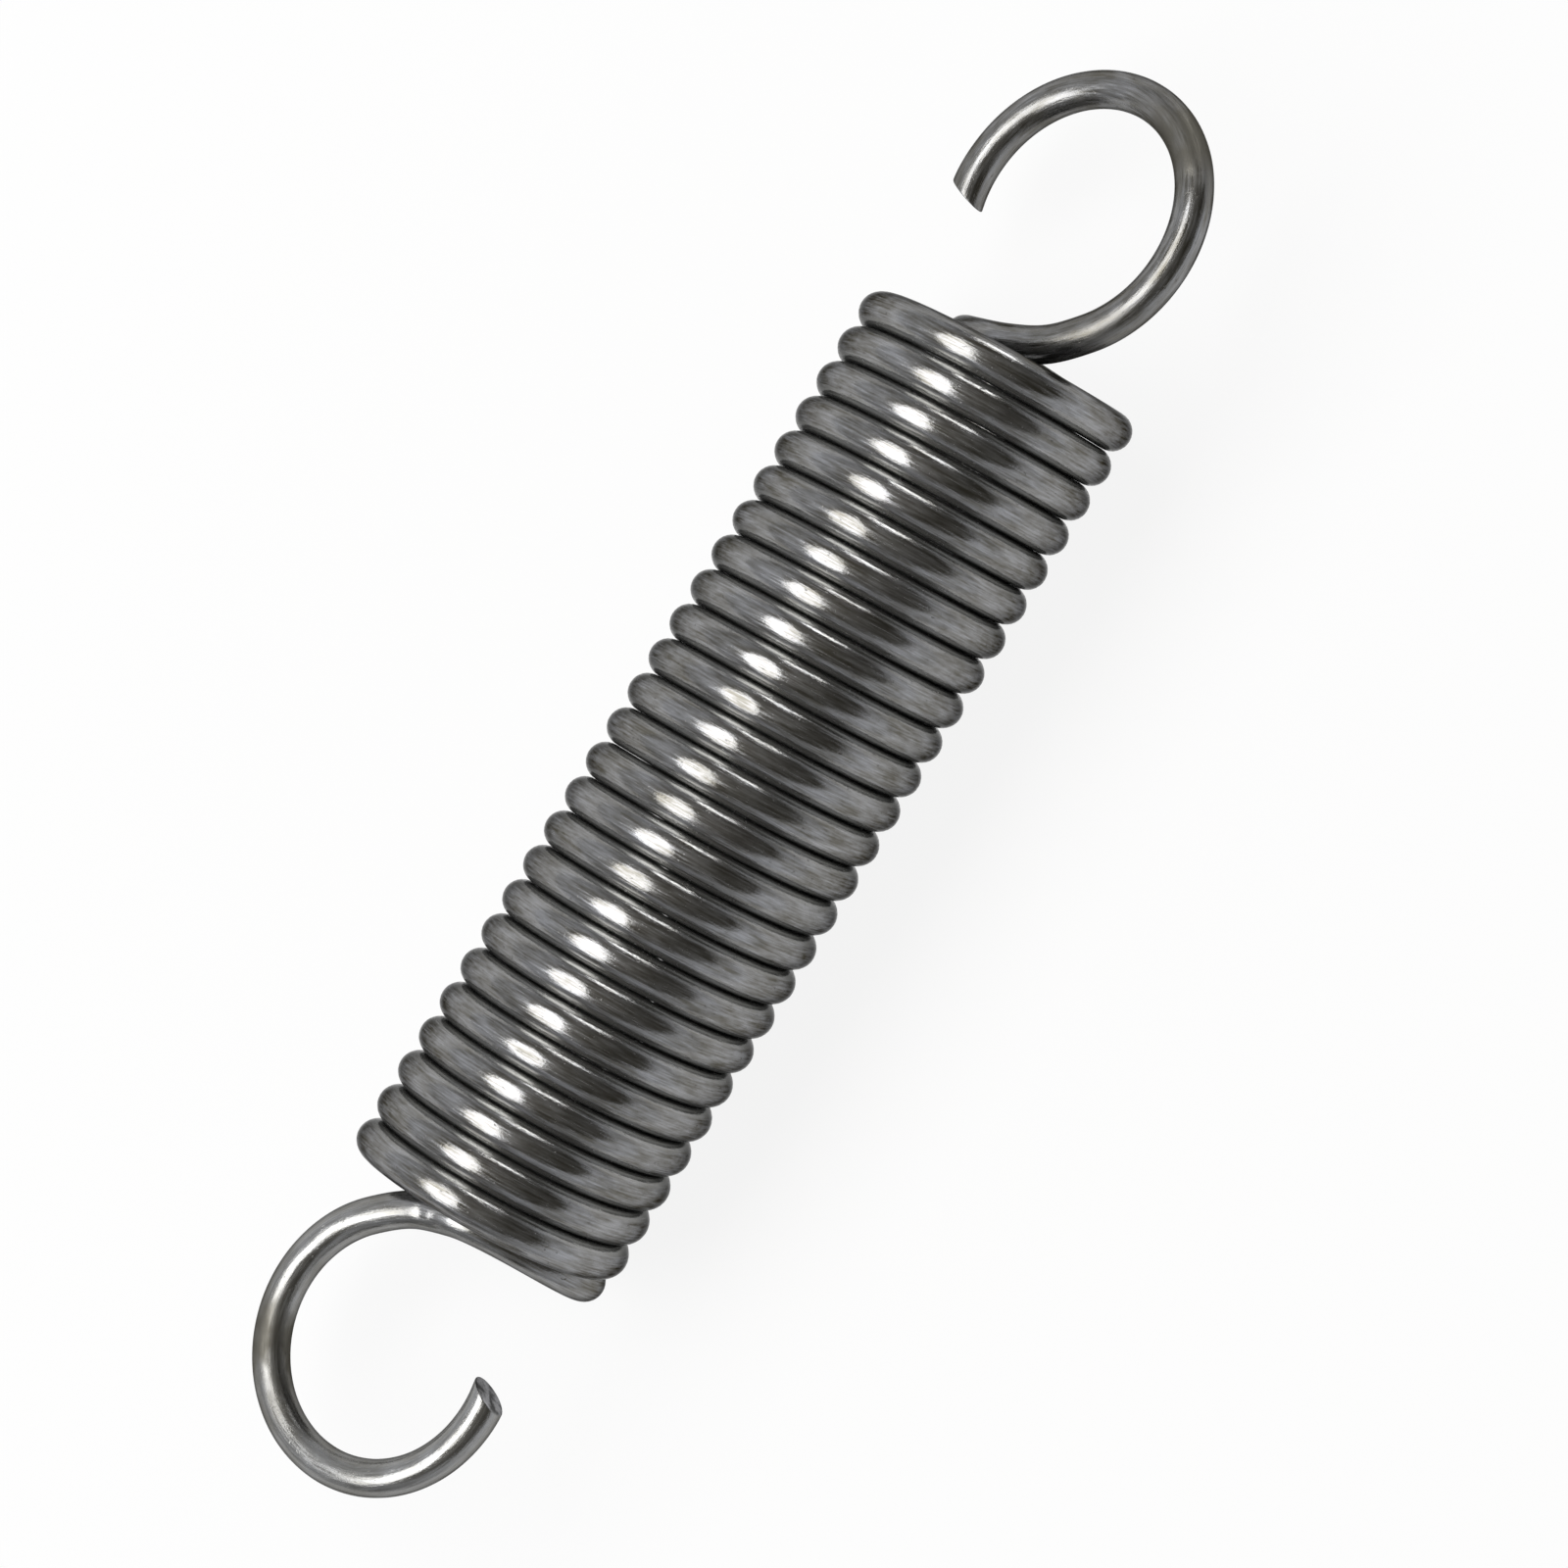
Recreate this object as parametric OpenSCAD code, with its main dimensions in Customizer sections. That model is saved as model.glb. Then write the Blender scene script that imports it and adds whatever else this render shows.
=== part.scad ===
// An extension spring: one length of round wire, wound into a close right-hand coil,
// that crosses the coil's end and turns up into a full hook at each end.
// The spring lies along X with its coil on the surface it rests on, Z up.

/* [Wire] */
// Thickness of the round wire
wire_d = 1.55; // [1:0.05:1.8]
// Slant of the sheared ends from square, the inside of the hook being the longer
cut_slant = 33; // [0:1:45]

/* [Coil] */
// Outside diameter of the coil
coil_d = 12; // [11:0.1:16]
// Turns of wire from the root of one hook to the root of the other
turns = 25.2; // [6:0.1:28]
// Daylight between one turn and the next
turn_gap = 0.06; // [0.04:0.01:0.5]
// Where the left hook's root lies round the coil, from straight down
root_angle = -63; // [-180:1:180]

/* [Hooks] */
// Outside diameter of the round part of a hook
hook_d = 12.2; // [10:0.1:16]
// How far the hook's lowest point would lie out from the wire at its root
hook_lift = 0.75; // [0.3:0.05:4]
// Distance of the hook's plane from the axis of the coil
hook_shift = 1.05; // [0:0.05:1.5]
// How far the hook's middle lies forward of the axis, along the way it faces
hook_lead = 0.1; // [-1:0.05:1]
// Turn from the root of a hook to the way it faces
hook_facing = 230; // [215:1:245]
// Where the wire has become the round part, from the side next to the coil
round_start = 43; // [35:1:60]
// Where the right hook is cut off
right_end = 284; // [200:1:300]
// Where the left hook is cut off
left_end = 279; // [200:1:300]

/* [Crossing] */
// How far forward of the axis the crossing wire levels with the hook's plane
cross_ahead = 0.4; // [-0.5:0.05:1]
// How far out from the root the wire is there
cross_out = 0.3; // [0.1:0.05:1]
// Climb of the wire there
cross_slope = 17.5; // [5:0.5:30]

/* [Hidden] */

// Flats round the wire, and lengths of it to a turn
wire_sides = 10;
steps_per_turn = 20;
curl_steps = 10;
rise_steps = 5;
wire_r = wire_d / 2;
step_angle = 360 / steps_per_turn;

// The coil's flats, not their corners, lie on its outside diameter
corner_r = coil_d / 2 / cos(step_angle / 2) - wire_r;
pitch = wire_d + turn_gap;
coil_steps = round(turns * steps_per_turn);
coil_length = pitch * coil_steps / steps_per_turn;
climb = pitch / (2 * PI * corner_r);
// The start is moved to the nearest half step, so that a flat faces down
coil_start = (floor(root_angle / step_angle) + 0.5) * step_angle;
coil_end = coil_start + coil_steps * step_angle;

hook_r = (hook_d - wire_d) / 2;
// Stiffness of the bend that leaves the coil, of the one that meets it, and of the rise
root_reach = corner_r / 2;
cross_reach = corner_r * 0.42;
rise_reach = hook_r * 0.32;

function unit(v) = v / norm(v);
function turned(p, a) = [p.x * cos(a) - p.y * sin(a), p.x * sin(a) + p.y * cos(a), p.z];

// Point at t of the curve that leaves a towards b and comes into d from c
function curve(a, b, c, d, t) =
    pow(1 - t, 3) * a + 3 * pow(1 - t, 2) * t * b + 3 * (1 - t) * t * t * c + pow(t, 3) * d;

// A hook in its own frame: X the way it faces, Z out from the coil, from the root's level
root = corner_r * [cos(hook_facing), -sin(hook_facing), 0];
root_way = unit([sin(hook_facing), cos(hook_facing), climb]);
crossing = [cross_ahead, -hook_shift, cross_out];
crossing_way = [cos(cross_slope), 0, sin(cross_slope)];
function round_point(a) =
    [hook_lead + hook_r * sin(a), -hook_shift, hook_lift + hook_r * (1 - cos(a))];
round_way = [cos(round_start), 0, sin(round_start)];

// The centre line of a hook from its root, with one point past the cut for its direction
function hook_line(end) =
    let (
        round_steps = ceil((end - round_start) / step_angle),
        foot = round_point(round_start)
    )
    concat(
        [for (i = [0 : curl_steps])
            curve(root, root + root_reach * root_way,
                crossing - cross_reach * crossing_way, crossing, i / curl_steps)],
        [for (i = [1 : rise_steps])
            curve(crossing, crossing + rise_reach * crossing_way,
                foot - rise_reach * round_way, foot, i / rise_steps)],
        [for (i = [1 : round_steps + 1])
            round_point(round_start + (end - round_start) * i / round_steps)]
    );

// Direction of a line at its point i
function way(line, i) = unit(line[i + 1] - line[i - 1]);

// A side of the wire at point i of a hook: level with the coil's end round the first bend,
// then square to the hook's plane
function hook_side(line, i) = i < curl_steps ? unit(cross(way(line, i), [0, 0, 1])) : [0, -1, 0];

// A point or side of a hook as it lies at the right end of the coil, and at the left,
// where the same hook is turned over
function at_right(p) = turned(p, coil_end + hook_facing);
function at_left(p) = turned([p.x, -p.y, -p.z], coil_start - hook_facing);

// The ring of points round the wire at point i, slanted by a slope along the wire
function wire_ring(line, i, side, slope) =
    let (
        along = way(line, i),
        inward = unit(line[i - 1] - 2 * line[i] + line[i + 1])
    )
    [for (k = [0 : wire_sides - 1])
        let (
            a = 360 * k / wire_sides,
            arm = wire_r * (cos(a) * side + sin(a) * cross(along, side))
        )
        line[i] + arm + slope * (arm * inward) * along];

module spring() {
    left = hook_line(left_end);
    right = hook_line(right_end);
    coil_angles = [for (i = [0 : coil_steps]) coil_start + i * step_angle];
    line = concat(
        [for (i = [len(left) - 1 : -1 : 1]) at_left(left[i])],
        [for (i = [0 : coil_steps])
            let (a = coil_angles[i])
            [corner_r * cos(a), corner_r * sin(a), pitch * i / steps_per_turn]],
        [for (i = [1 : len(right) - 1]) at_right(right[i]) + [0, 0, coil_length]]
    );
    sides = concat(
        [for (i = [len(left) - 2 : -1 : 1]) at_left(hook_side(left, i))],
        [for (a = coil_angles) [cos(a), sin(a), 0]],
        [for (i = [1 : len(right) - 2]) at_right(hook_side(right, i))]
    );
    last = len(sides) - 1;
    slant = tan(cut_slant);
    rings = [for (i = [0 : last])
        wire_ring(line, i + 1, sides[i], i == 0 ? -slant : i == last ? slant : 0)];

    color([0.42, 0.42, 0.41])
        translate([-coil_length / 2, 0, coil_d / 2])
        rotate([0, 90, 0])
        polyhedron(
            points = [for (r = rings) each r],
            faces = concat(
                [[for (k = [0 : wire_sides - 1]) k]],
                [for (i = [0 : last - 1], k = [0 : wire_sides - 1])
                    let (a = i * wire_sides, n = (k + 1) % wire_sides)
                    each [[a + k, a + wire_sides + k, a + n],
                        [a + n, a + wire_sides + k, a + wire_sides + n]]],
                [[for (k = [wire_sides - 1 : -1 : 0]) last * wire_sides + k]]
            )
        );
}

spring();
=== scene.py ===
import math

import bpy
import numpy as np
from mathutils import Matrix, Vector


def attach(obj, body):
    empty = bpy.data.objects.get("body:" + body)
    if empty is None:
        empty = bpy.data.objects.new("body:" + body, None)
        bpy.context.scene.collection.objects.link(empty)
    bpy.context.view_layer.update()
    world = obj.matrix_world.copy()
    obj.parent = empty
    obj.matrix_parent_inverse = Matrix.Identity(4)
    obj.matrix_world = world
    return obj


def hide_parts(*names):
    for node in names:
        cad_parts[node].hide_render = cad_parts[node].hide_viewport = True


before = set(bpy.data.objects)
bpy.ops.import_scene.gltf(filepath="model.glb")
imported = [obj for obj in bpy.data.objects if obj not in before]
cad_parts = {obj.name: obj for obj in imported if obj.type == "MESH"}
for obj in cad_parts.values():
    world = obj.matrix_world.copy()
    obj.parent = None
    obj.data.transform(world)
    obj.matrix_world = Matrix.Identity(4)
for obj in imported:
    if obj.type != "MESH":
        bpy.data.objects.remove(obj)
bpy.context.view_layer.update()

mm = 0.001  # sizes below are in millimetres and angles in degrees, as on the spring's drawing


# The camera comes first: where it stands, what it looks at and how the picture is turned

camera = {
    "lens": 111.16,
    "sensor": 36.0,
    "target": (1.08, -1.34, 5.84),     # near the middle of the coil
    "distance": 193.4,
    "elevation": 83.22,                # above the floor, almost straight down
    "heading": -69.4,                  # side of the spring it leans to, from +X towards +Y
    "turn": 79.1,                      # turn of the camera about its own line of sight
    "nearest": 5.0,
    "farthest": 50000.0,
}


def placeCamera():
    # from the target the camera stands the way (cos e cos h, cos e sin h, sin e)
    e = math.radians(camera["elevation"])
    h = math.radians(camera["heading"])
    back = Vector((math.cos(e) * math.cos(h), math.cos(e) * math.sin(h), math.sin(e)))
    data = bpy.data.cameras.new("photoCamera")
    data.lens = camera["lens"]
    data.sensor_width = camera["sensor"]
    data.clip_start = camera["nearest"] * mm
    data.clip_end = camera["farthest"] * mm
    eye = bpy.data.objects.new("photoCamera", data)
    spot = (Vector(camera["target"]) + camera["distance"] * back) * mm
    level = back.to_track_quat("Z", "Y").to_matrix().to_4x4()
    roll = Matrix.Rotation(math.radians(-camera["turn"]), 4, "Z")
    eye.matrix_world = Matrix.Translation(spot) @ level @ roll
    bpy.context.collection.objects.link(eye)
    bpy.context.scene.camera = eye


placeCamera()
print("camera placed")


# The spring: one wire, carried round the coil and along both hooks

wire = {
    "thickness": 1.55,
    "coilDiameter": 12.0,      # outside
    "turns": 25.2,
    "pitch": 1.61,
    "meeting": 0.022,          # what the coil's wire gains all round, so that its turns all but touch
    "meetingEnds": 0.3,        # how far out from the coil that gain has died away
    "rootAngle": -63.0,        # where the left hook's root lies, from straight down
    "hookDiameter": 12.2,      # outside
    "hookLift": 0.75,          # of the round part's lowest point, out from the root
    "hookShift": 1.05,         # of the hook's plane, off the coil's axis
    "hookLead": 0.1,           # of the round part's middle, the way the hook faces
    "hookFacing": 230.0,       # from the root to the way the hook faces
    "roundStart": 43.0,
    "rightEnd": 284.0,
    "leftEnd": 279.0,
    "crossAhead": 0.4,         # where the crossing wire levels with the hook's plane
    "crossOut": 0.3,
    "crossSlope": 17.5,
    "rootReach": 0.5,          # stiffness of the bend at its root, by the coil's radius
    "crossReach": 0.42,        # and at the crossing
    "riseReach": 0.32,         # and of the rise, by the hook's radius
    "cutSlant": 33.0,
    "cutEdge": 0.07,           # rounding of the sheared rim
    "cutReach": 3.0,           # length over which the rings lean into the slant
    "ringsPerTurn": 90,
    "curlRings": 72,           # along the bend of a hook, its rise and its round part
    "riseRings": 24,
    "roundRings": 109,
    "rimRings": 3,
    "faceRings": (0.7, 0.4, 0.15),  # radii of those on a sheared face, by the wire's
    "sides": 32,
    # dents the bending tool left: length along the wire from the left cut, angle round its section,
    # depth, and half the length and half the angle that each takes up
    "dents": [
        (24.6, 8.0, 0.04, 0.24, 34.0),
        (25.25, 34.0, 0.05, 0.26, 30.0),
        (877.3, 14.0, 0.05, 0.30, 26.0),
        (882.6, 40.0, 0.035, 0.5, 24.0),
        (19.0, 350.0, 0.03, 0.5, 28.0),
    ],
}
wireRadius = wire["thickness"] / 2
coilRadius = wire["coilDiameter"] / 2 - wireRadius - wire["meeting"]
hookRadius = wire["hookDiameter"] / 2 - wireRadius
coilLength = wire["pitch"] * wire["turns"]
coilEnd = wire["rootAngle"] + 360 * wire["turns"]


def unit(v):
    # each vector divided by its own length
    return v / np.linalg.norm(v, axis=-1, keepdims=True)


def turned(p, degrees):
    # points turned about the coil's axis, which is Z while the spring is being made
    c, s = math.cos(math.radians(degrees)), math.sin(math.radians(degrees))
    return np.stack([p[:, 0] * c - p[:, 1] * s, p[:, 0] * s + p[:, 1] * c, p[:, 2]], 1)


def bend(a, b, c, d, count):
    # cubic curve from a, leaving towards b, into d, coming from c; a itself is left out
    t = (np.arange(1, count + 1) / count)[:, None]
    return (1 - t) ** 3 * a + 3 * (1 - t) ** 2 * t * b + 3 * (1 - t) * t ** 2 * c + t ** 3 * d


def coilLine():
    # radius times (cos, sin) of the angle, climbing one pitch a turn
    a = np.radians(np.linspace(wire["rootAngle"], coilEnd, round(wire["turns"] * wire["ringsPerTurn"]) + 1))
    climbed = (a - a[0]) / (2 * math.pi) * wire["pitch"]
    return np.stack([coilRadius * np.cos(a), coilRadius * np.sin(a), climbed], 1)


def hookLine(cutAngle):
    # X is the way the hook faces, Z is out from the coil and the root is at Z 0:
    # one bend to the crossing, a shorter one up to the round part, then an arc to the cut
    f = math.radians(wire["hookFacing"])
    climb = wire["pitch"] / (2 * math.pi * coilRadius)
    slope = math.radians(wire["crossSlope"])
    start = math.radians(wire["roundStart"])
    root = coilRadius * np.array([math.cos(f), -math.sin(f), 0])
    rootWay = unit(np.array([math.sin(f), math.cos(f), climb]))
    crossing = np.array([wire["crossAhead"], -wire["hookShift"], wire["crossOut"]])
    crossingWay = np.array([math.cos(slope), 0, math.sin(slope)])
    startWay = np.array([math.cos(start), 0, math.sin(start)])

    def roundPoint(a):
        # the round part's middle plus its radius times (sin, -cos) of the angle, in the hook's plane
        flat = np.full_like(a, -wire["hookShift"])
        return np.stack([wire["hookLead"] + hookRadius * np.sin(a), flat,
                         wire["hookLift"] + hookRadius * (1 - np.cos(a))], -1)

    foot = roundPoint(np.array(start))
    arc = np.linspace(start, math.radians(cutAngle), wire["roundRings"] + 1)[1:]
    return (
        bend(root, root + coilRadius * wire["rootReach"] * rootWay,
             crossing - coilRadius * wire["crossReach"] * crossingWay, crossing, wire["curlRings"]),
        bend(crossing, crossing + hookRadius * wire["riseReach"] * crossingWay,
             foot - hookRadius * wire["riseReach"] * startWay, foot, wire["riseRings"]),
        roundPoint(arc),
    )


def sidesOf(curl, count):
    # a side of the wire at each point: level with the coil's end round the first bend,
    # then square to the hook's plane
    way = np.gradient(curl, axis=0)
    level = unit(np.cross(way, [0.0, 0.0, 1.0]))
    return np.concatenate([level, np.tile([0.0, -1.0, 0.0], (count - len(curl), 1))])


def hook(cutAngle):
    # the hook's three stretches in one line, and its sides
    curl, rise, arc = hookLine(cutAngle)
    line = np.concatenate([curl, rise, arc])
    return line, sidesOf(curl, len(line))


def wholeWire():
    # the left hook is the right one turned over, run backwards, and set at the coil's start
    over = np.array([1.0, -1.0, -1.0])
    rightLine, rightSides = hook(wire["rightEnd"])
    leftLine, leftSides = hook(wire["leftEnd"])
    toRight = coilEnd + wire["hookFacing"]
    toLeft = wire["rootAngle"] - wire["hookFacing"]
    middle = coilLine()
    outward = unit(middle * [1.0, 1.0, 0.0])
    line = np.concatenate([
        turned(leftLine * over, toLeft)[::-1],
        middle,
        turned(rightLine, toRight) + [0, 0, coilLength]])
    sides = np.concatenate([
        turned(leftSides * over, toLeft)[::-1],
        outward,
        turned(rightSides, toRight)])
    return line, sides


def laidDown(p):
    # the coil's axis laid along X, its middle over the origin and its underside on the floor
    return np.stack([p[..., 2] - coilLength / 2, p[..., 1], wire["coilDiameter"] / 2 - p[..., 0]], -1)


def slanted(rings, line, way, arms, along):
    # towards a cut each point moves along the wire by its height on the hook's inner side times the
    # slant's slope, in a share that grows smoothly from 0 to 1; gives each end's middle, arms and way out
    lean = math.tan(math.radians(wire["cutSlant"]))
    ends = []
    for end, sign, fromEnd in ((0, -1.0, along), (-1, 1.0, along[-1] - along)):
        nearest = line[:3] if end == 0 else line[-3:]
        inward = unit(nearest[0] - 2 * nearest[1] + nearest[2])
        share = np.clip(1 - fromEnd / wire["cutReach"], 0, 1)
        share = share * share * (3 - 2 * share)
        offset = sign * lean * wireRadius * np.einsum("rkj,j->rk", arms, inward) * share[:, None]
        rings = rings + offset[:, :, None] * way[:, None]
        ends.append((line[end], rings[end] - line[end], sign * way[end]))
    return rings, ends


def dented(rings, arms, along, around):
    # each dent is its depth times a bell curve along the wire and another round the section
    for length, angle, depth, halfLength, halfAngle in wire["dents"]:
        near = np.exp(-((along - length) / halfLength) ** 2)[:, None]
        facing = np.exp(-(((np.degrees(around) - angle + 180) % 360 - 180) / halfAngle) ** 2)
        rings = rings - depth * (near * facing)[:, :, None] * arms
    return rings


def wireSurface():
    # a circle of points round each point of the line; past a cut the circles shrink over a
    # quarter round of the rim, and then across the flat face to its middle
    line, sides = wholeWire()
    way = unit(np.gradient(line, axis=0))
    sides = unit(sides - np.sum(sides * way, 1, keepdims=True) * way)
    ups = np.cross(way, sides)
    along = np.concatenate([[0.0], np.cumsum(np.linalg.norm(np.diff(line, axis=0), axis=1))])
    around = np.linspace(0, 2 * math.pi, wire["sides"], endpoint=False)
    arms = np.cos(around)[None, :, None] * sides[:, None] + np.sin(around)[None, :, None] * ups[:, None]
    beyondCoil = np.maximum(-line[:, 2], line[:, 2] - coilLength)
    thick = wireRadius + wire["meeting"] * np.clip(1 - beyondCoil / wire["meetingEnds"], 0, 1)
    rings = line[:, None] + thick[:, None, None] * arms
    rings, ends = slanted(rings, line, way, arms, along)
    rings = dented(rings, arms, along, around)

    edge = wire["cutEdge"]
    turn = np.radians(np.arange(1, wire["rimRings"] + 1) * 90 / wire["rimRings"])
    shrink = np.concatenate([1 - edge / wireRadius * (1 - np.cos(turn)), wire["faceRings"]])
    rise = edge * np.concatenate([np.sin(turn), np.ones(len(wire["faceRings"]))])
    left, right = [middle + shrink[:, None, None] * arm + rise[:, None, None] * out
                   for middle, arm, out in ends]
    poles = np.stack([middle + edge * out for middle, arm, out in ends])
    allRings = np.concatenate([left[::-1], rings, right])
    onFace = np.concatenate([[0.5], np.ones(len(rise) - 1)])
    return {
        "points": laidDown(np.concatenate([allRings.reshape(-1, 3), poles])),
        "count": len(allRings),
        "around": around,
        "along": np.concatenate([np.zeros(len(rise)), along, np.full(len(rise), along[-1])]),
        "spread": np.concatenate([shrink[::-1], np.ones(len(rings)), shrink]),
        "cut": np.concatenate([onFace[::-1], np.zeros(len(rings)), onFace]),
    }


def buildWire(surface):
    # each circle joined to the next by four-sided faces, and the last ones to the middles of the cuts
    count, sides = surface["count"], wire["sides"]
    i = np.arange(count - 1)[:, None] * sides
    k = np.arange(sides)[None, :]
    n = (k + 1) % sides
    quads = np.stack([i + k, i + n, i + sides + n, i + sides + k], -1).reshape(-1, 4)
    last = (count - 1) * sides
    start = np.stack([np.full(sides, count * sides), n[0], k[0]], 1)
    stop = np.stack([np.full(sides, count * sides + 1), last + k[0], last + n[0]], 1)
    mesh = bpy.data.meshes.new("springWire")
    points = surface["points"] * mm
    mesh.from_pydata(points.tolist(), [], quads.tolist() + start.tolist() + stop.tolist())
    mesh.update()
    mesh.polygons.foreach_set("use_smooth", np.ones(len(mesh.polygons), bool))
    piece = bpy.data.objects.new("springWire", mesh)
    bpy.context.collection.objects.link(piece)
    return piece


swept = wireSurface()
springWire = buildWire(swept)
print("wire swept,", len(springWire.data.polygons), "faces")


# The finish of the wire

steel = {
    "light": (0.325, 0.327, 0.335),
    "dark": (0.124, 0.118, 0.102),
    "pit": (0.07, 0.065, 0.06),
    "edgeOn": (0.2, 0.2, 0.2),      # what is left of the shine at a glancing view
    "metal": 0.94,                  # the rest is a thin dull film of drawing soap
    "smooth": 0.07,
    "rough": 0.28,
    "paintedLight": (0.42, 0.42, 0.41),   # painted light: a paler tone on the flanks where one turn lies against the next, lifting the shade between turns
    "flanks": (0.55, 0.85),         # where they begin and are full, from the wire's middle to its side
    "flanksFade": 0.2,              # length over which they fade at the coil's ends
    "worked": 0.18,                 # how much rougher a hook can be, from the tool that bent it
    "hookShade": 0.55,                # and how much darker, as painted shade
    "workedAndShadedRight": 0.7,             # the right hook's share of both
    "workedAndShadedLeft": 0.3,              # and the left's, where painted light lifts its tone too, by this much
    "leftHookLight": 0.4,
    # places along the wire where a hook is rougher and darker with painted shade or, below 0, smoother and
    # less dark: middle, half length, share
    "workedAndShadedAt": [(14.5, 3.2, 1.3), (875.5, 1.5, -0.7), (879.2, 1.8, 0.8), (894.5, 2.2, 1.0)],
    "workedFrom": 2.0,              # length over which a hook takes on its own finish
    "sheared": (0.42, 0.42, 0.43),  # the cut ends, where the blades slid
    "torn": (0.14, 0.14, 0.14),     # and where the metal gave way
    "cutRough": 0.15,
    "pitShare": 0.6,                # how far a pit goes to its own colour
    "pitRough": 0.2,
    "relief": 0.5,
    "reliefDepth": 0.015,
    "grainHeight": 0.5,             # heights in the relief, by the drawing marks'
    "cloudHeight": 1.4,
    "pitHeight": 0.6,
    "cloudShare": 0.45,             # the clouds' share of the tone, the rest being the marks'
    # noises on the wire's own coordinates: scale along it by that across it, scale and detail
    "noises": {
        "marks": (0.07, 12.0, 6.0),
        "clouds": (0.4, 1.7, 4.0),
        "grain": (0.45, 16.0, 2.0),
        "pits": (0.6, 7.0, 3.0),
        "scuffs": (0.5, 0.45, 3.0),
        "tears": (1.0, 2.2, 4.0),
    },
    "noiseRoughness": 0.6,
    # a noise's values at which what it draws begins and is full
    "patchRamp": (0.38, 0.62),
    "sheenRamp": (0.35, 0.68),
    "pitRamp": (0.66, 0.74),
    "tearRamp": (0.42, 0.6),
    "scuffAndShadeRamp": (0.4, 0.6),
    "scuffAndShadePower": (0.3, 1.4),       # what a scuff and its painted shade are multiplied by at those two
}


def markWire(mesh, surface):
    # what the finish reads at each point: its length along the wire and its place round the
    # section; how far it is on a sheared face; how far worked by the tools, which also darkens it with
    # painted shade; and how far painted light lifts it
    def store(name, kind, slot, values):
        mesh.attributes.new(name, kind, "POINT").data.foreach_set(slot, values.ravel())

    sides = wire["sides"]
    acrossWire = wireRadius * surface["spread"]
    spot = np.zeros((len(surface["points"]), 3))
    spot[:-2, 0] = np.repeat(surface["along"], sides)
    spot[:-2, 1] = np.outer(acrossWire, np.cos(surface["around"])).ravel()
    spot[:-2, 2] = np.outer(acrossWire, np.sin(surface["around"])).ravel()
    spot[-1, 0] = surface["along"][-1]
    store("alongWire", "FLOAT_VECTOR", "vector", spot)
    store("cutFace", "FLOAT", "value", np.concatenate([np.repeat(surface["cut"], sides), [1.0, 1.0]]))

    # worked: rougher, and darker with painted shade; the hook's own share plus a bell curve at each place,
    # from nothing at the coil's end
    x = surface["points"][:, 0]
    worked = np.where(x < 0, steel["workedAndShadedLeft"], steel["workedAndShadedRight"])
    for length, halfLength, share in steel["workedAndShadedAt"]:
        worked = worked + share * np.exp(-((spot[:, 0] - length) / halfLength) ** 2)
    worked *= np.clip((np.abs(x) - coilLength / 2) / steel["workedFrom"], 0, 1)
    store("bentPart", "FLOAT", "value", worked)

    # painted light: a paler tone on the flanks where one turn lies against the next, lifting the shade
    # between them, and on the left hook, for broader highlights there
    flankStart, flankFull = steel["flanks"]
    flank = np.clip((np.abs(spot[:, 2]) / wireRadius - flankStart) / (flankFull - flankStart), 0, 1)
    between = np.clip(((coilLength - wire["pitch"]) / 2 - np.abs(x)) / steel["flanksFade"], 0, 1)
    onLeftHook = np.clip((-x - coilLength / 2) / steel["workedFrom"], 0, 1)
    store("paintedLightPart", "FLOAT", "value", flank * between + steel["leftHookLight"] * onLeftHook)


def newMaterial(name):
    # an empty material, with its nodes and links
    material = bpy.data.materials.new(name)
    material.use_nodes = True
    nodes = material.node_tree.nodes
    nodes.clear()
    return material, nodes, material.node_tree.links


def readOff(nodes, name):
    # the values that markWire stored under a name
    node = nodes.new("ShaderNodeAttribute")
    node.attribute_name = name
    return node.outputs


def stretchedNoise(nodes, links, place, kind):
    # noise on the wire's own coordinates, drawn out along its length
    stretch, scale, detail = steel["noises"][kind]
    mapping = nodes.new("ShaderNodeMapping")
    mapping.inputs["Scale"].default_value = (stretch, 1.0, 1.0)
    noise = nodes.new("ShaderNodeTexNoise")
    noise.inputs["Scale"].default_value = scale
    noise.inputs["Detail"].default_value = detail
    noise.inputs["Roughness"].default_value = steel["noiseRoughness"]
    links.new(place, mapping.inputs["Vector"])
    links.new(mapping.outputs[0], noise.inputs["Vector"])
    return noise.outputs["Fac"]


def ranged(nodes, links, value, low, high, toLow, toHigh):
    # low becomes toLow and high toHigh, in a straight line between and level beyond
    node = nodes.new("ShaderNodeMapRange")
    for name, number in (("From Min", low), ("From Max", high), ("To Min", toLow), ("To Max", toHigh)):
        node.inputs[name].default_value = number
    links.new(value, node.inputs["Value"])
    return node.outputs[0]


def combined(nodes, links, operation, a, b):
    # one step of arithmetic on two values, each a number or a socket
    node = nodes.new("ShaderNodeMath")
    node.operation = operation
    for slot, value in zip(node.inputs, (a, b)):
        if isinstance(value, float):
            slot.default_value = value
        else:
            links.new(value, slot)
    return node.outputs[0]


def vectorStep(nodes, links, operation, a, b=(0.0, 0.0, 0.0)):
    # the same on two vectors, of which the first is a socket
    node = nodes.new("ShaderNodeVectorMath")
    node.operation = operation
    links.new(a, node.inputs[0])
    if isinstance(b, bpy.types.NodeSocket):
        links.new(b, node.inputs[1])
    else:
        node.inputs[1].default_value = b
    return node.outputs["Value" if operation == "DOT_PRODUCT" else "Vector"]


def blended(nodes, links, share, a, b):
    # colour a where the share is 0, b where it is 1, and mixed in proportion between
    node = nodes.new("ShaderNodeMix")
    node.data_type = "RGBA"
    links.new(share, node.inputs[0])
    for slot, value in ((node.inputs[6], a), (node.inputs[7], b)):
        if isinstance(value, tuple):
            slot.default_value = (*value, 1)
        else:
            links.new(value, slot)
    return node.outputs[2]


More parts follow.
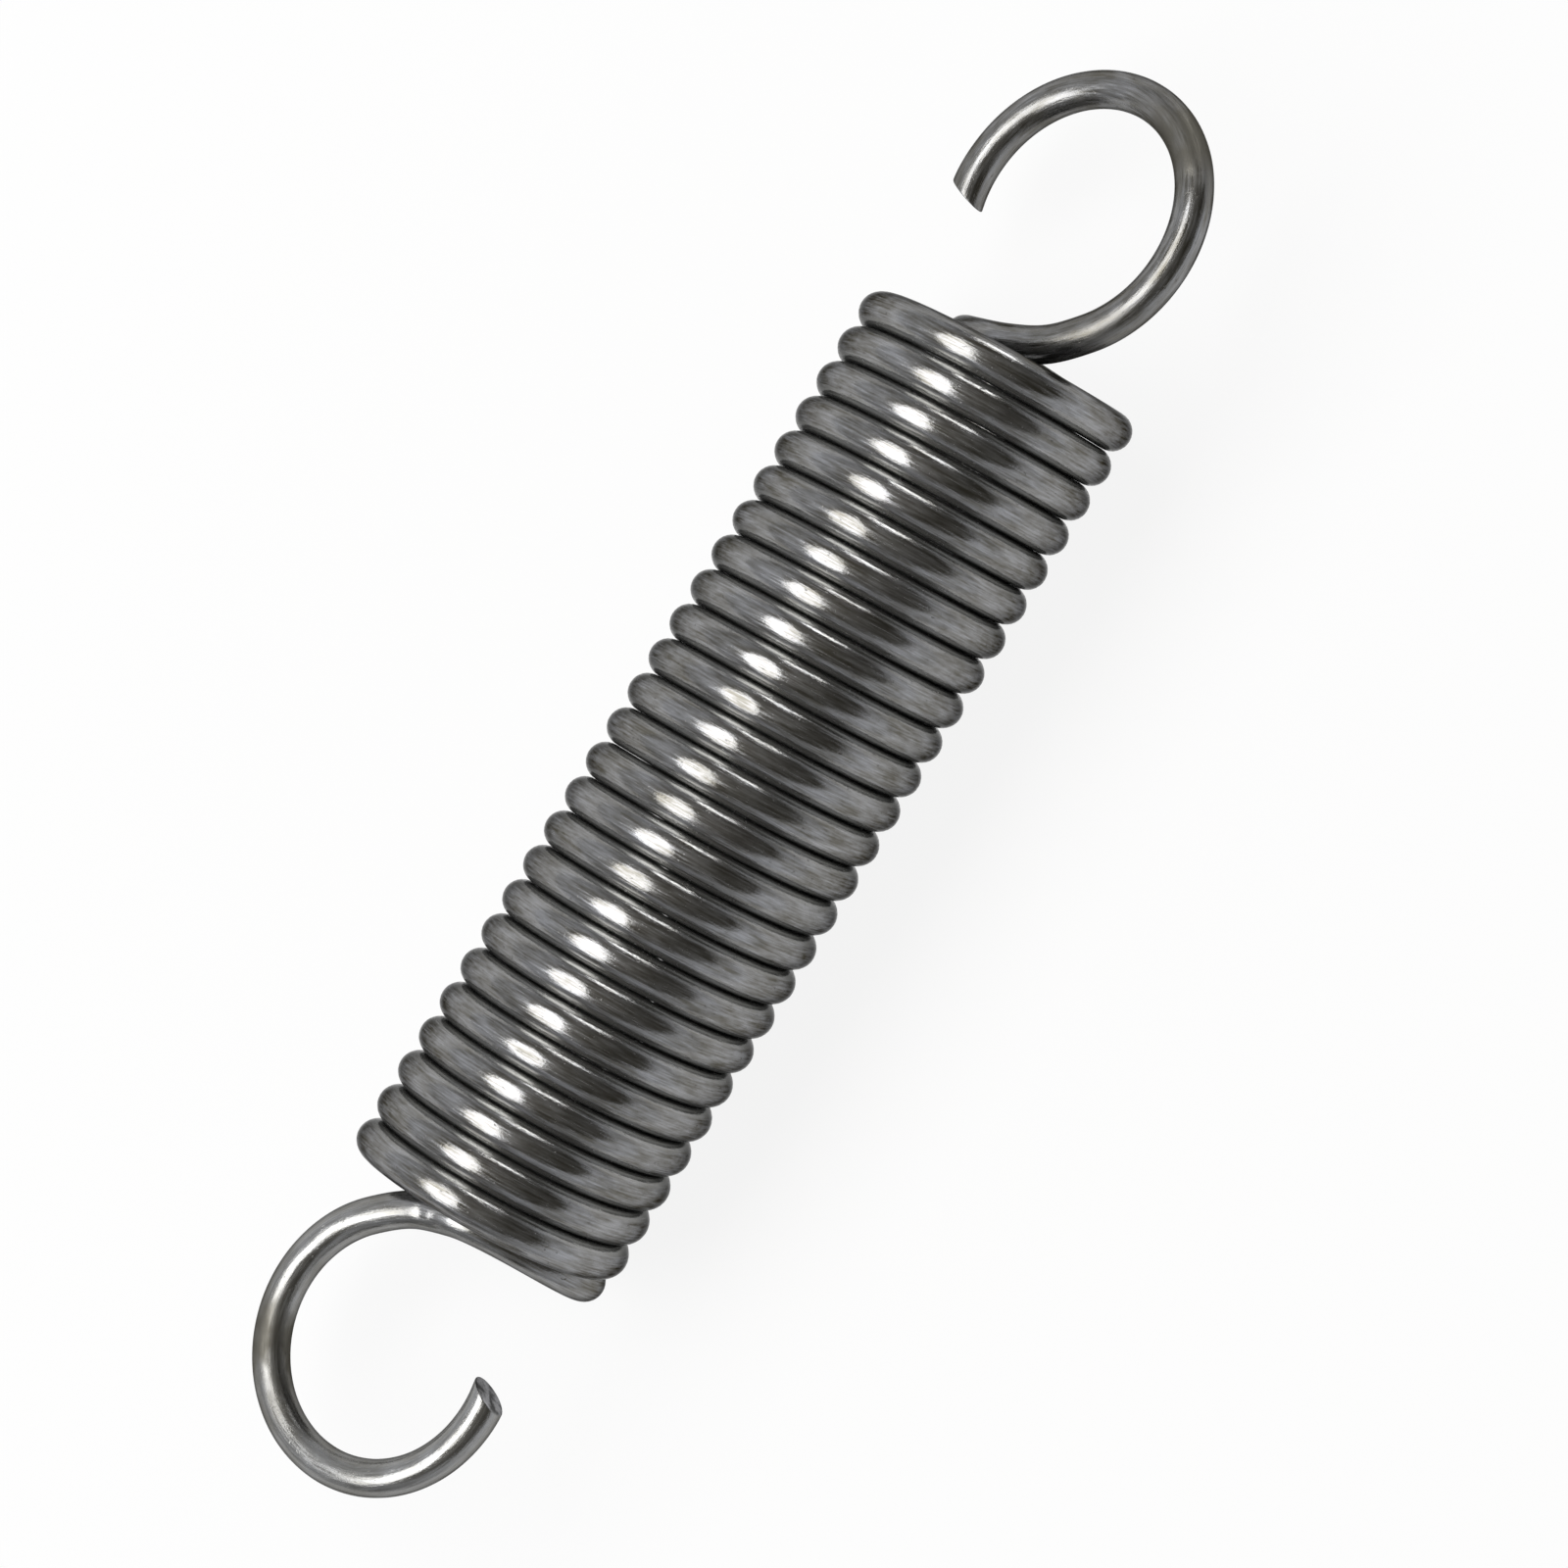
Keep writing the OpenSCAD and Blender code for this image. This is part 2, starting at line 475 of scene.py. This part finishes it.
def drawnSteel():
    # spring wire as it leaves the die: marks along its length, cloudy patches and small pits, painted light
    # on the touching flanks and the left hook, painted shade on the hooks, dull where it is worked, and
    # paler, rougher metal at the cuts
    material, nodes, links = newMaterial("drawnSteel")

    # the steps that this material repeats, on its own nodes
    def noise(kind):
        return stretchedNoise(nodes, links, place, kind)

    def times(a, b):
        return combined(nodes, links, "MULTIPLY", a, b)

    def plus(a, b):
        return combined(nodes, links, "ADD", a, b)

    out = nodes.new("ShaderNodeOutputMaterial")
    shader = nodes.new("ShaderNodeBsdfPrincipled")
    shader.inputs["Metallic"].default_value = steel["metal"]
    shader.inputs["Specular Tint"].default_value = (*steel["edgeOn"], 1)
    links.new(shader.outputs[0], out.inputs["Surface"])
    place = readOff(nodes, "alongWire")["Vector"]
    cut = readOff(nodes, "cutFace")["Fac"]
    bent = readOff(nodes, "bentPart")["Fac"]
    paintedLight = readOff(nodes, "paintedLightPart")["Fac"]

    marks = noise("marks")
    clouds = noise("clouds")
    pits = ranged(nodes, links, noise("pits"), *steel["pitRamp"], 0.0, 1.0)
    # patches on the hooks: rougher from the tool, and darker as painted shade
    power = ranged(nodes, links, noise("scuffs"), *steel["scuffAndShadeRamp"], *steel["scuffAndShadePower"])
    scuffs = times(bent, power)

    # colour: patches of light and dark, then pits, painted light, painted shade on the hooks and the sheared
    # faces over them
    patch = plus(times(clouds, steel["cloudShare"]), times(marks, 1 - steel["cloudShare"]))
    patch = ranged(nodes, links, patch, *steel["patchRamp"], 0.0, 1.0)
    tone = blended(nodes, links, patch, steel["dark"], steel["light"])
    tone = blended(nodes, links, times(pits, steel["pitShare"]), tone, steel["pit"])
    # painted light: a paler tone on the turns' touching flanks, lifting the shade between them, and on the
    # left hook
    tone = blended(nodes, links, paintedLight, tone, steel["paintedLight"])
    # painted shade: the hooks darker in those patches, most the right one
    tone = blended(nodes, links, times(scuffs, steel["hookShade"]), tone, steel["dark"])
    tear = ranged(nodes, links, noise("tears"), *steel["tearRamp"], 0.0, 1.0)
    face = blended(nodes, links, tear, steel["sheared"], steel["torn"])
    tone = blended(nodes, links, cut, tone, face)
    links.new(tone, shader.inputs["Base Color"])

    # roughness: from smooth to rough with the marks, and more for pits, cuts and scuffs
    sheen = ranged(nodes, links, marks, *steel["sheenRamp"], steel["smooth"], steel["rough"])
    sheen = plus(sheen, times(pits, steel["pitRough"]))
    sheen = plus(sheen, times(cut, steel["cutRough"]))
    sheen = plus(sheen, times(scuffs, steel["worked"]))
    links.new(sheen, shader.inputs["Roughness"])

    # relief: marks, grain and clouds stand up from it, and pits go down
    height = plus(marks, times(noise("grain"), steel["grainHeight"]))
    height = plus(height, times(clouds, steel["cloudHeight"]))
    height = combined(nodes, links, "SUBTRACT", height, times(pits, steel["pitHeight"]))
    relief = nodes.new("ShaderNodeBump")
    relief.inputs["Strength"].default_value = steel["relief"]
    relief.inputs["Distance"].default_value = steel["reliefDepth"] * mm
    links.new(height, relief.inputs["Height"])
    links.new(relief.outputs[0], shader.inputs["Normal"])
    return material


markWire(springWire.data, swept)
springWire.data.materials.append(drawnSteel())
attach(springWire, "root")
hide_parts("spring")
print("finish laid on")


# The studio: a pale floor, a white surround with a dark ceiling, and two soft lamps

studio = {
    "floorSize": 8.0,                 # metres, as the lamps' sizes are
    "floorTone": 0.11,
    "floorGlow": 0.87,                # the part of its white that no shadow takes away
    "surround": (0.85, 0.865, 0.90),
    "brighter": (0.0, -0.13, 0.0),    # which way the surround grows brighter, and by what share
    "ends": (-0.65, 0.0, 0.0),        # and how much darker it is both ways along the spring
    "ceiling": (0.10, 0.095, 0.082),
    "ceilingLit": (0.46, 0.445, 0.41),
    "ceilingRamp": (-0.45, 0.4),      # over which the ceiling grows lighter towards the long lamp
    "ceilingWay": (0.25, -0.1, 1.0),
    "ceilingLong": (0.66, 1.0, 1.0),  # it reaches further along the spring than across
    "ceilingEdge": (0.47, 0.66),      # cosine of the angle off the ceiling's middle: bright, dark
}
lamps = {
    "longLamp": {"way": (-0.22, 0.49, 0.85), "distance": 0.6, "length": 0.94, "width": 0.35, "radiance": 4.7},
    "endLamp": {"way": (0.97, 0.09, 0.22), "distance": 0.8, "length": 0.32, "width": 0.22, "radiance": 6.5},
}


def layFloor():
    # dull white, with some of its white seen straight and in reflections whatever the light
    half = studio["floorSize"] / 2
    corners = [(-half, -half, 0), (half, -half, 0), (half, half, 0), (-half, half, 0)]
    mesh = bpy.data.meshes.new("floor")
    mesh.from_pydata(corners, [], [(0, 1, 2, 3)])
    floor = bpy.data.objects.new("floor", mesh)
    bpy.context.collection.objects.link(floor)
    material, nodes, links = newMaterial("paleFloor")
    out = nodes.new("ShaderNodeOutputMaterial")
    shader = nodes.new("ShaderNodeBsdfPrincipled")
    tone = studio["floorTone"]
    shader.inputs["Base Color"].default_value = (tone, tone, tone, 1)
    shader.inputs["Roughness"].default_value = 1.0
    shader.inputs["Specular IOR Level"].default_value = 0.0
    shader.inputs["Emission Color"].default_value = (1, 1, 1, 1)
    ray = nodes.new("ShaderNodeLightPath")
    seen = combined(nodes, links, "MAXIMUM", ray.outputs["Is Camera Ray"], ray.outputs["Is Glossy Ray"])
    seen = combined(nodes, links, "MAXIMUM", seen, ray.outputs["Is Transmission Ray"])
    glow = combined(nodes, links, "MULTIPLY", seen, studio["floorGlow"])
    links.new(glow, shader.inputs["Emission Strength"])
    links.new(shader.outputs[0], out.inputs["Surface"])
    mesh.materials.append(material)


def lightWorld():
    # white all round, dark overhead, with a soft edge between: how far overhead a direction is,
    # is its cosine with the ceiling's middle, once it has been shortened along the spring
    world = bpy.data.worlds.new("studio")
    bpy.context.scene.world = world
    world.use_nodes = True
    nodes, links = world.node_tree.nodes, world.node_tree.links
    nodes.clear()
    out = nodes.new("ShaderNodeOutputWorld")
    light = nodes.new("ShaderNodeBackground")
    links.new(light.outputs[0], out.inputs["Surface"])
    sky = nodes.new("ShaderNodeTexCoord").outputs["Generated"]
    overhead = vectorStep(nodes, links, "MULTIPLY", sky, studio["ceilingLong"])
    overhead = vectorStep(nodes, links, "NORMALIZE", overhead)
    middle = Vector(studio["ceilingWay"]).normalized()
    overhead = vectorStep(nodes, links, "DOT_PRODUCT", overhead, middle)
    overhead = ranged(nodes, links, overhead, *studio["ceilingEdge"], 0.0, 1.0)
    overhead.node.interpolation_type = "SMOOTHSTEP"
    aside = vectorStep(nodes, links, "DOT_PRODUCT", sky, (0.0, 1.0, 0.0))
    aside = ranged(nodes, links, aside, *studio["ceilingRamp"], 0.0, 1.0)
    ceiling = blended(nodes, links, aside, studio["ceiling"], studio["ceilingLit"])
    tone = blended(nodes, links, overhead, studio["surround"], ceiling)
    links.new(tone, light.inputs["Color"])

    # strength: 1, plus a share of the direction itself and a share of its square
    slope = vectorStep(nodes, links, "DOT_PRODUCT", sky, studio["brighter"])
    squares = vectorStep(nodes, links, "MULTIPLY", sky, sky)
    fall = vectorStep(nodes, links, "DOT_PRODUCT", squares, studio["ends"])
    slope = combined(nodes, links, "ADD", slope, fall)
    links.new(combined(nodes, links, "ADD", slope, 1.0), light.inputs["Strength"])


def hangLamp(name, panel):
    # an oval panel facing the spring, its length along the spring or, for one that stands
    # beyond the spring's end, across it; its energy is radiance times pi times its area
    data = bpy.data.lights.new(name, "AREA")
    data.shape = "ELLIPSE"
    data.size = panel["length"]
    data.size_y = panel["width"]
    area = math.pi / 4 * data.size * data.size_y
    data.energy = panel["radiance"] * math.pi * area
    lamp = bpy.data.objects.new(name, data)
    away = Vector(panel["way"]).normalized()
    beyondEnd = abs(away.x) > 0.7
    level = Vector((0, 1, 0)) if beyondEnd else Vector((1, 0, 0))
    across = away.cross(level).normalized()
    along = across.cross(away)
    turn = Matrix((along, -across, away)).transposed().to_4x4()
    lamp.matrix_world = Matrix.Translation(away * panel["distance"]) @ turn
    lamp.visible_camera = False
    bpy.context.collection.objects.link(lamp)


layFloor()
lightWorld()
for lampName, lampPanel in lamps.items():
    hangLamp(lampName, lampPanel)
bpy.context.scene.view_settings.view_transform = "Standard"
print("studio lit")
